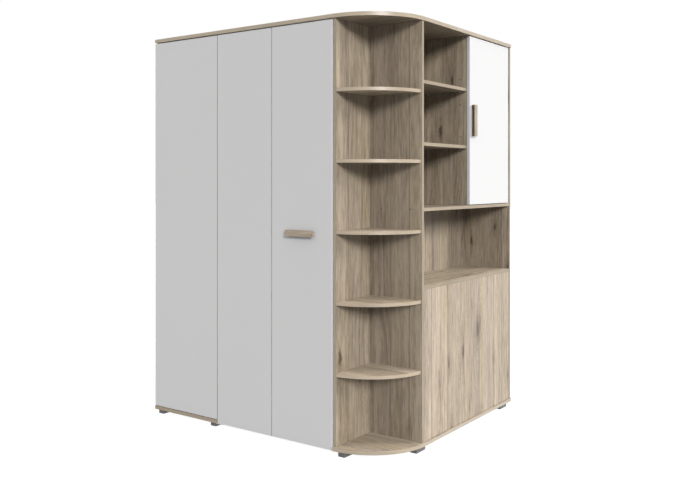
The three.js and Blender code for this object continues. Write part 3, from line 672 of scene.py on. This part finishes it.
def build_metal_group():
    """Rolled or drawn metal: fine marks along its length and a dull bloom"""
    group, given, result = new_group(
        "drawn metal",
        [("Place", "NodeSocketVector"), ("Color", "NodeSocketColor"), ("Dull", "NodeSocketColor")],
        [("Color", "NodeSocketColor"), ("Roughness", "NodeSocketFloat"), ("Height", "NodeSocketFloat")],
    )
    marks = noise(group, scaled(group, given["Place"], drawing_scale), detail=3.0)
    bloom = noise(group, scaled(group, given["Place"], bloom_scale), detail=3.0)
    dull = fade(group, bloom, *bloom_fade)
    group.links.new(mixed(group, dull, given["Color"], given["Dull"]), result["Color"])
    drawn_rough = fade(group, marks, *drawing_roughness_fade)
    rough = calculate(group, "MULTIPLY_ADD", dull, bloom_roughness, drawn_rough)
    group.links.new(rough, result["Roughness"])
    group.links.new(marks, result["Height"])
    return group


metal_group = build_metal_group()


def metal_finish(name, color, dull, turn=(0, 0, 0)):
    """A metal whose drawing marks run along Y, or along the axis that the turn brings there"""
    material, tree, shader = new_material(name)
    where = add_node(tree, "ShaderNodeTexCoord").outputs
    turned = add_node(tree, "ShaderNodeMapping", {"Vector": where["Object"], "Rotation": turn})
    pattern = add_node(tree, "ShaderNodeGroup", node_tree=metal_group)
    tree.links.new(turned.outputs[0], pattern.inputs["Place"])
    pattern.inputs["Color"].default_value = color
    pattern.inputs["Dull"].default_value = dull
    wire_surface(tree, shader, pattern.outputs, metal_relief)
    shader.inputs["Metallic"].default_value = 1.0
    return material


rail_steps = 24


def oval_rod(low, high):
    """A rod along Y with an oval section, which fills the space between two corners"""
    shape = bmesh.new()
    outline = [(low.x, low.z), (high.x, low.z), (high.x, high.z), (low.x, high.z)]
    corners = [shape.verts.new((x, low.y, z)) for x, z in outline]
    shape.faces.new(corners)
    bmesh.ops.bevel(
        shape, geom=corners, offset=(high.x - low.x) / 2, segments=rail_steps,
        profile=0.5, affect="VERTICES", material=-1,
    )
    bmesh.ops.remove_doubles(shape, verts=shape.verts[:], dist=tolerance)
    grown = bmesh.ops.extrude_face_region(shape, geom=shape.faces[:])["geom"]
    far_end = [part for part in grown if isinstance(part, bmesh.types.BMVert)]
    bmesh.ops.translate(shape, vec=(0, high.y - low.y, 0), verts=far_end)
    bmesh.ops.recalc_face_normals(shape, faces=shape.faces[:])
    return shape


steel = metal_finish("steel", steel_color, steel_dull)
grey_plastic = plastic_finish("grey plastic", grey_plastic_color, grey_plastic_worn)
rail = oval_rod(*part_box("clothes_rail"))
add_piece("clothes_rail_tube", "carcass", rail, steel, ["clothes_rail"])
dress("rail_socket_front", grey_plastic)
dress("rail_socket_rear", grey_plastic)


# Uprights of the niche and the bookcase. 16 mm oak decor board with the grain upright: the jamb
# beside the folding door, the bookcase's two sides, and the divider above the desk niche.

# Painted light and shade: the bookcase's left side is painted darker and the jamb's faces lighter, and
# the front bands of the jamb and of the right side darker.
painted_side_shade = 0.85
painted_jamb_light = 1.06
painted_jamb_band_shade = 0.66
painted_side_band_shade = 0.60

jamb_finish = oak_finish(
    "jamb_panel", Z, X, painted_jamb_light, painted_jamb_band_shade, full_band_gloss
)
dress("jamb_panel", jamb_finish)
face_with_oak(Z, "bookcase_left_side", lightness=painted_side_shade)
face_with_oak(Z, "bookcase_right_side", band_lightness=painted_side_band_shade)
face_with_oak(Z, "bookcase_divider")


# Round shelves. Five quarter rounds of 16 mm board in the corner niche, screwed to the jamb and
# to the bookcase's left side, with a flexible edge band round the curve.

round_shelf_setback = 0.010
# The round shelves' faces are painted lighter: painted light, as from above.
painted_shelf_light = 1.55
shelf_radius = corner_radius - round_shelf_setback
top_low, top_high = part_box("top_board")
round_middle = Vector((top_high.x - corner_radius, top_low.y + corner_radius))

for node in sorted(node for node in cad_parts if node.startswith("round_shelf_")):
    low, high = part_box(node)
    near = round_middle.y - shelf_radius
    right = round_middle.x + shelf_radius
    points = [round_middle, (round_middle.x, near), (right, near), (right, round_middle.y)]
    shelf = rounded_outline(points, low.z, 2, shelf_radius)
    for place, outward in (((low.x, 0, 0), (-1, 0, 0)), ((0, high.y, 0), (0, 1, 0))):
        everything = shelf.verts[:] + shelf.edges[:] + shelf.faces[:]
        bmesh.ops.bisect_plane(shelf, geom=everything, plane_co=place, plane_no=outward, clear_outer=True)
    thicken(shelf, high.z - low.z)
    name = node + "_board"
    print_finish = oak_finish(name, X, Z, painted_shelf_light, 1.0, full_band_gloss)
    add_piece(name, "carcass", shelf, print_finish, [node])


# Bookcase boards. Middle shelf, desk board and the lower shelf run from side to side with the
# grain along them. The plain lower front hides the space under the desk, which is open towards the
# inside of the wardrobe, and a thin back closes the compartments above the desk.

# The desk board's faces are painted lighter, painted light as from above, and the thin back darker,
# painted shade in the compartments. The desk's front band is a darker tone.
painted_desk_light = 1.42
dark_desk_band_lightness = 0.70
painted_back_shade = 0.91

face_with_oak(Y, "middle_shelf", "lower_shelf")
face_with_oak(
    Y, "desk_board", lightness=painted_desk_light, band_lightness=dark_desk_band_lightness
)
dress("bookcase_back_panel", back_panel_finish("bookcase_back_panel", painted_back_shade))
face_with_oak(Z, "lower_front_panel")


# Loose shelves. Two in the open part and one in the cupboard, each lying on four steel pins that
# push into the rows of holes in the uprights.

pin_radius = 0.0024
pin_reach = 0.008
pin_collar_radius = 0.004
pin_collar = 0.001
pin_clearance = 0.0003
hole_setback = 0.037
pin_steps = 32

face_with_oak(Y, "open_shelf_1", "open_shelf_2", "cupboard_shelf")


def turned_piece(profile, steps):
    """A piece turned about Z from a profile of radius and height, closed on the axis"""
    shape = bmesh.new()
    points = [shape.verts.new((radius, 0, height)) for radius, height in profile]
    edges = [shape.edges.new(pair) for pair in zip(points, points[1:])]
    bmesh.ops.spin(
        shape, geom=points + edges, cent=(0, 0, 0), axis=(0, 0, 1), angle=2 * pi,
        steps=steps, use_merge=True, use_duplicate=False,
    )
    bmesh.ops.remove_doubles(shape, verts=shape.verts[:], dist=tolerance)
    bmesh.ops.recalc_face_normals(shape, faces=shape.faces[:])
    return shape


def merged(shapes):
    """Several shapes as one"""
    whole = bmesh.new()
    for shape in shapes:
        part = bpy.data.meshes.new("part")
        shape.to_mesh(part)
        shape.free()
        whole.from_mesh(part)
        bpy.data.meshes.remove(part)
    return whole


def placed(shape, direction, place):
    """Turns a shape's Z towards a direction and moves it to its place"""
    turn = Vector(direction).to_track_quat("Z", "Y").to_matrix().to_4x4()
    shape.transform(Matrix.Translation(place) @ turn)
    return shape


pin_profile = [
    (0, -pin_reach),
    (pin_radius, -pin_reach),
    (pin_radius, 0),
    (pin_collar_radius, 0),
    (pin_collar_radius, pin_collar),
    (pin_radius, pin_collar),
    (pin_radius, pin_reach - edge_round),
    (pin_radius - edge_round, pin_reach),
    (0, pin_reach),
]
pin_columns = [
    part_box("bookcase_divider")[1].x - hole_setback,
    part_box("bookcase_back_panel")[1].x + hole_setback,
]
pin_hole_reach = 0.004
bore_skin = 0.0005
painted_bore_shade = (0.012, 0.009, 0.007, 1)


def darken_bores(node):
    """Paints the inside of an upright's pin holes near black, as painted shade in the holes"""
    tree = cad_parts[node].data.materials[0].node_tree
    color = tree.nodes["Principled BSDF"].inputs["Base Color"]
    low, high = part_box(node)
    where = add_node(tree, "ShaderNodeTexCoord").outputs["Object"]
    place = add_node(tree, "ShaderNodeSeparateXYZ", {0: where}).outputs
    half = (high.y - low.y) / 2
    inside = calculate(tree, "COMPARE", place["Y"], low.y + half, half - bore_skin)
    near = [calculate(tree, "COMPARE", place["X"], column, pin_hole_reach) for column in pin_columns]
    bored = calculate(tree, "MULTIPLY", inside, calculate(tree, "MAXIMUM", *near))
    tree.links.new(mixed(tree, bored, color.links[0].from_socket, painted_bore_shade), color)


for node in ("bookcase_left_side", "bookcase_divider", "bookcase_right_side"):
    darken_bores(node)

left_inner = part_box("bookcase_left_side")[1].y
right_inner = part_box("bookcase_right_side")[0].y
divider_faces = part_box("bookcase_divider")[0].y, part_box("bookcase_divider")[1].y
shelf_spans = {
    "open_shelf_1": (left_inner, divider_faces[0]),
    "open_shelf_2": (left_inner, divider_faces[0]),
    "cupboard_shelf": (divider_faces[1], right_inner),
}
for node, (start, end) in shelf_spans.items():
    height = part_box(node)[0].z - pin_clearance - pin_radius
    pins = [
        placed(turned_piece(pin_profile, pin_steps), (0, way, 0), (x, y, height))
        for x in pin_columns for y, way in ((start, 1), (end, -1))
    ]
    add_piece(node + "_pins", "carcass", merged(pins), steel)


# Screw caps. Two dark caps on the niche face of the bookcase's left side hide the screws that
# hold the end of the middle shelf.

cap_radius = 0.0045
cap_height = 0.0009
cap_places = (-0.069, -0.227)

side_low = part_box("bookcase_left_side")[0]
shelf_low, shelf_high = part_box("middle_shelf")
cap_profile = [
    (0, 0),
    (cap_radius, 0),
    (cap_radius, cap_height / 3),
    (cap_radius - cap_height, cap_height),
    (0, cap_height),
]
caps = [
    placed(turned_piece(cap_profile, pin_steps), (0, -1, 0),
           (top_high.x + x, side_low.y, (shelf_low.z + shelf_high.z) / 2))
    for x in cap_places
]
add_piece("side_screw_caps", "carcass", merged(caps), dark_plastic)


# Top board. One 18 mm board over everything, with the same quarter round as the floor, grooved
# below for the guide track and bored for the upper pin of the cupboard door.

groove_clearance = 0.0003
overrun = 0.005
cupboard_pin_radius = 0.0025


def cut_away(shape, cutters):
    """Takes the cutters out of a shape"""
    objects = []
    for i, part in enumerate([shape, *cutters]):
        mesh = bpy.data.meshes.new(f"cut_{i}")
        part.to_mesh(mesh)
        part.free()
        objects.append(bpy.data.objects.new(mesh.name, mesh))
        bpy.context.scene.collection.objects.link(objects[-1])
    for cutter in objects[1:]:
        step = objects[0].modifiers.new(cutter.name, "BOOLEAN")
        step.object = cutter
        step.solver = "EXACT"
    evaluated = objects[0].evaluated_get(bpy.context.evaluated_depsgraph_get())
    result = bmesh.new()
    result.from_mesh(evaluated.to_mesh())
    evaluated.to_mesh_clear()
    for thing in objects:
        mesh = thing.data
        bpy.data.objects.remove(thing)
        bpy.data.meshes.remove(mesh)
    return result


track_low, track_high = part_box("guide_track")
play = Vector((groove_clearance, groove_clearance, groove_clearance))
groove = box_shape(track_low - play - Vector((0, 0, overrun)), track_high + play)
door_pin_low, door_pin_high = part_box("cupboard_pivot_pin_top")
door_pin_middle = (door_pin_low + door_pin_high) / 2
bore_radius = cupboard_pin_radius + groove_clearance
bore_profile = [
    (0, top_low.z - overrun),
    (bore_radius, top_low.z - overrun),
    (bore_radius, door_pin_high.z + groove_clearance),
    (0, door_pin_high.z + groove_clearance),
]
bore = turned_piece(bore_profile, pin_steps)
bmesh.ops.translate(bore, vec=(door_pin_middle.x, door_pin_middle.y, 0), verts=bore.verts[:])
add_piece(
    "top_board_round", "carcass", cut_away(corner_board("top_board"), [groove, bore]),
    oak_finish("top_board_round", X, Z, 1.0, round_board_band, full_band_gloss), ["top_board"],
)


# Guide track and pivots. An aluminium channel in the top board guides the right leaf. The left
# leaf turns on a steel pin in a plastic bush in that channel, and on one in a steel floor plate.

aluminium_color = (0.70, 0.705, 0.71, 1)
aluminium_dull = (0.60, 0.605, 0.615, 1)

aluminium = metal_finish("aluminium", aluminium_color, aluminium_dull, (0, 0, pi / 2))
dress("guide_track", aluminium)
dress("top_pivot_bush", grey_plastic)
dress("floor_pivot_plate", steel)
dress("leaf_pivot_pin_top", steel)
dress("leaf_pivot_pin_bottom", steel)
dress("guide_pin", grey_plastic)


# Folding door. Two leaves of 16 mm board, smooth white on both sides, with thin white edge bands.
# The left one has painted shade on the edge where it meets the right one, for the gap between them.

dress("door_leaf_left", white_decor_gap_shaded)
dress("door_leaf_right", white_decor)


# Fold hinges. Three steel butt hinges on the backs of the leaves, each half held by three
# countersunk screws.

hinge_plate_thick = 0.0015
hinge_screw_rows = ((0.010, 0.008), (0.030, 0.013), (0.050, 0.008))
screw_radius = 0.0032
screw_shank = 0.0016
screw_depth = 0.0012
screw_proud = 0.0003
recess_reach = 0.0022
recess_breadth = 0.0010
recess_depth = 0.0010


def countersunk_screw():
    """The head of a countersunk screw with its cross recess, facing up from Z = 0"""
    head = turned_piece([
        (0, -screw_depth),
        (screw_shank, -screw_depth),
        (screw_radius, 0),
        (screw_radius - screw_proud, screw_proud),
        (0, screw_proud),
    ], pin_steps)
    along = Vector((recess_reach, recess_breadth / 2, recess_depth))
    cross = Vector((recess_breadth / 2, recess_reach, recess_depth))
    top = Vector((0, 0, screw_proud))
    return cut_away(head, [box_shape(top - way, top + way) for way in (along, cross)])


def add_screws(name, body, direction, places):
    """Countersunk screws that face one way, with their heads at the given places"""
    head = countersunk_screw()
    screws = [placed(head.copy(), direction, place) for place in places]
    head.free()
    add_piece(name, body, merged(screws), steel)


hinge_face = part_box("door_leaf_left")[1].y + hinge_plate_thick
for side, body in (("left", "left_leaf"), ("right", "right_leaf")):
    places = []
    for i in (1, 2, 3):
        node = f"fold_hinge_{i}_{side}"
        dress(node, steel)
        low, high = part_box(node)
        for rise, inset in hinge_screw_rows:
            x = low.x + inset if side == "left" else high.x - inset
            places.append((x, hinge_face, low.z + rise))
    add_screws(f"{side}_hinge_screws", body, (0, 1, 0), places)


# Fitting screws. The rail sockets are screwed to their uprights through the flanges, and the
# floor plate is screwed up into the bay's bottom board.

socket_base = 0.003
socket_screw_reach = 0.0218
plate_screw_inset = 0.007
plate_screw_places = (0.028, 0.052, 0.076)

for node, way in (("rail_socket_front", 1), ("rail_socket_rear", -1)):
    low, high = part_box(node)
    middle = (low + high) / 2
    face = low.y + socket_base if way > 0 else high.y - socket_base
    heights = (middle.z - socket_screw_reach, middle.z + socket_screw_reach)
    add_screws(node + "_screws", "carcass", (0, way, 0), [(middle.x, face, z) for z in heights])

plate_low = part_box("floor_pivot_plate")[0]
places = [
    (plate_low.x + plate_screw_inset, plate_low.y + y, plate_low.z)
    for y in plate_screw_places
]
add_screws("floor_plate_screws", "carcass", (0, 0, -1), places)


# Cupboard door. A single white door on two steel pins at its right end, one in the top board and
# one in the middle shelf.

dress("cupboard_door", white_decor)
dress("cupboard_pivot_pin_top", steel)
dress("cupboard_pivot_pin_bottom", steel)


# Handles. A flat bar with the oak print stands on a narrower neck of nearly its length, held
# by two screws from behind: one level on the folding door's right leaf, one upright on the
# cupboard door. The neck's long sides are painted dark brown, as painted shade under the bar;
# its ends carry the oak print.

bar_thick = 0.004
bar_gap = 0.016
bar_length = 0.160
bar_breadth = 0.030
bar_round = 0.001
neck_breadth = 0.016
neck_inset = 0.001
screw_spacing = 0.128
screw_head_radius = 0.004
screw_head = 0.0025
screw_head_dome = ((1, 0), (1, 0.5), (0.8, 0.9), (0.4, 1), (0, 1))
panel_thick = 0.016
# Painted shade: the dark brown of the neck's long sides under the bar.
painted_neck_shade = (0.105, 0.075, 0.058, 1)
painted_neck_shade_worn = (0.135, 0.100, 0.078, 1)

painted_neck_shade_finish = plastic_finish("handle neck painted shade", painted_neck_shade, painted_neck_shade_worn)


def build_handle(name, body, node, grain, thin, matrix):
    """Makes a handle in its own frame, its length along X and the door's face at Y = 0, and
    stands it in place"""
    low = Vector((-bar_length / 2, -bar_gap - bar_thick, -bar_breadth / 2))
    high = Vector((bar_length / 2, -bar_gap, bar_breadth / 2))
    bar = box_shape(low, high)
    bmesh.ops.bevel(
        bar, geom=bar.edges[:], offset=bar_round, segments=edge_round_steps,
        profile=0.5, affect="EDGES", material=-1,
    )
    bar.transform(matrix)
    print_finish = oak_finish(name, grain, thin, band_lightness=1.0)
    add_piece(name + "_bar", body, bar, print_finish, [node])
    low = Vector((neck_inset - bar_length / 2, -bar_gap, -neck_breadth / 2))
    high = Vector((bar_length / 2 - neck_inset, 0, neck_breadth / 2))
    neck = box_shape(low, high)
    # The neck's long sides keep the painted shade; its ends get the bar's oak print.
    for face in neck.faces:
        if abs(face.normal.x) > least_facing:
            face.material_index = 1
    neck.transform(matrix)
    piece = add_piece(name + "_neck", body, neck, painted_neck_shade_finish, [node])
    piece.data.materials.append(print_finish)
    dome = [(screw_head_radius * out, screw_head * up) for out, up in screw_head_dome]
    head_profile = [(0, 0), *dome]
    heads = merged([
        placed(turned_piece(head_profile, pin_steps), (0, 1, 0), (x, panel_thick, 0))
        for x in (-screw_spacing / 2, screw_spacing / 2)
    ])
    heads.transform(matrix)
    add_piece(name + "_screws", body, heads, steel, [node])


leaf_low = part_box("door_leaf_right")[0]
handle_low, handle_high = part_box("door_handle")
handle_middle = (handle_low + handle_high) / 2
level = Matrix.Translation((handle_middle.x, leaf_low.y, handle_middle.z))
build_handle("door_handle", "right_leaf", "door_handle", X, Y, level)

cupboard_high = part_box("cupboard_door")[1]
upright_low, upright_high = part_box("cupboard_handle")
upright_middle = (upright_low + upright_high) / 2
turn = Matrix(((0, -1, 0, 0), (0, 0, -1, 0), (1, 0, 0, 0), (0, 0, 0, 1)))
upright = Matrix.Translation((cupboard_high.x, upright_middle.y, upright_middle.z)) @ turn
build_handle("cupboard_handle", "cupboard_front", "cupboard_handle", Z, X, upright)


# Floor. A plain pale studio floor, far wider than the wardrobe. It looks white from anywhere,
# throws back little light, and keeps the wardrobe's shadow.

floor_reach = 30.0
floor_color = (0.30, 0.30, 0.30, 1)
floor_roughness = 0.9
floor_glow = 0.95
pure_white = (1, 1, 1, 1)


def seen_directly(tree):
    """One for rays from the camera, a gloss or glass, and zero for light on its way"""
    rays = add_node(tree, "ShaderNodeLightPath").outputs
    seen = calculate(tree, "MAXIMUM", rays["Is Camera Ray"], rays["Is Glossy Ray"])
    return calculate(tree, "MAXIMUM", seen, rays["Is Transmission Ray"])


floor_shape = bmesh.new()
bmesh.ops.create_grid(floor_shape, x_segments=1, y_segments=1, size=floor_reach)
floor_mesh = bpy.data.meshes.new("studio_floor")
floor_shape.to_mesh(floor_mesh)
floor_shape.free()
floor_material, floor_tree, floor_shader = new_material("studio floor")
floor_shader.inputs["Base Color"].default_value = floor_color
floor_shader.inputs["Roughness"].default_value = floor_roughness
floor_shader.inputs["Specular IOR Level"].default_value = 0.0
floor_shader.inputs["Emission Color"].default_value = pure_white
glow = calculate(floor_tree, "MULTIPLY", seen_directly(floor_tree), floor_glow)
floor_tree.links.new(glow, floor_shader.inputs["Emission Strength"])
floor_mesh.materials.append(floor_material)
studio_floor = bpy.data.objects.new("studio_floor", floor_mesh)
bpy.context.scene.collection.objects.link(studio_floor)


# Studio light. A soft dome, brighter overhead, and two broad lamps a little above eye level: one in
# front of the round corner, which lights both faces and gives the curved edge bands their gloss,
# and one beyond the bookcase's end, which lights only its face and throws no gloss.

dome_low = 0.10
dome_rise = 0.66
key_direction = Vector((-0.766, 0.548, -0.326))
key_strength = 1.68
key_angle = radians(16)
side_direction = Vector((-0.740, -0.579, -0.342))
side_strength = 1.48
side_angle = radians(18)

world = bpy.data.worlds.new("studio")
bpy.context.scene.world = world
world.use_nodes = True
sky = world.node_tree
background = sky.nodes["Background"]
way = add_node(sky, "ShaderNodeTexCoord").outputs["Generated"]
way_up = add_node(sky, "ShaderNodeSeparateXYZ", {0: way}).outputs["Z"]
overhead = calculate(sky, "MAXIMUM", way_up, 0.0)
dome = calculate(sky, "MULTIPLY_ADD", overhead, dome_rise, dome_low)
values = {0: seen_directly(sky), 2: dome, 3: 1.0}
brightness = add_node(sky, "ShaderNodeMix", values, data_type="FLOAT").outputs[0]
sky.links.new(brightness, background.inputs["Strength"])
background.inputs["Color"].default_value = pure_white

lamps = [
    ("key", key_direction, key_strength, key_angle, True),
    ("side", side_direction, side_strength, side_angle, False),
]
for name, way, strength, angle, glossy in lamps:
    light = bpy.data.lights.new(name, "SUN")
    light.energy = strength
    light.angle = angle
    lamp = bpy.data.objects.new(name, light)
    lamp.visible_glossy = glossy
    lamp.rotation_euler = way.to_track_quat("-Z", "Y").to_euler()
    bpy.context.scene.collection.objects.link(lamp)


# Camera. It stands in front of the round corner at a standing person's chest height, level, with
# the lens shifted down so that the uprights stay parallel.

picture_width = 679
picture_height = 480
focal_pixels = 818.99
horizon_pixel = 180.57
sensor_width = 36.0
camera_place = (2.5952, -3.5728, 1.2323)
camera_turn = radians(35.753)

camera_data = bpy.data.cameras.new("camera")
camera_data.sensor_fit = "HORIZONTAL"
camera_data.sensor_width = sensor_width
camera_data.lens = sensor_width * focal_pixels / picture_width
camera_data.shift_y = (horizon_pixel - picture_height / 2) / picture_width
camera = bpy.data.objects.new("camera", camera_data)
camera.location = camera_place
camera.rotation_euler = (pi / 2, 0, camera_turn)
bpy.context.scene.collection.objects.link(camera)
bpy.context.scene.camera = camera
bpy.context.scene.view_settings.view_transform = "Standard"
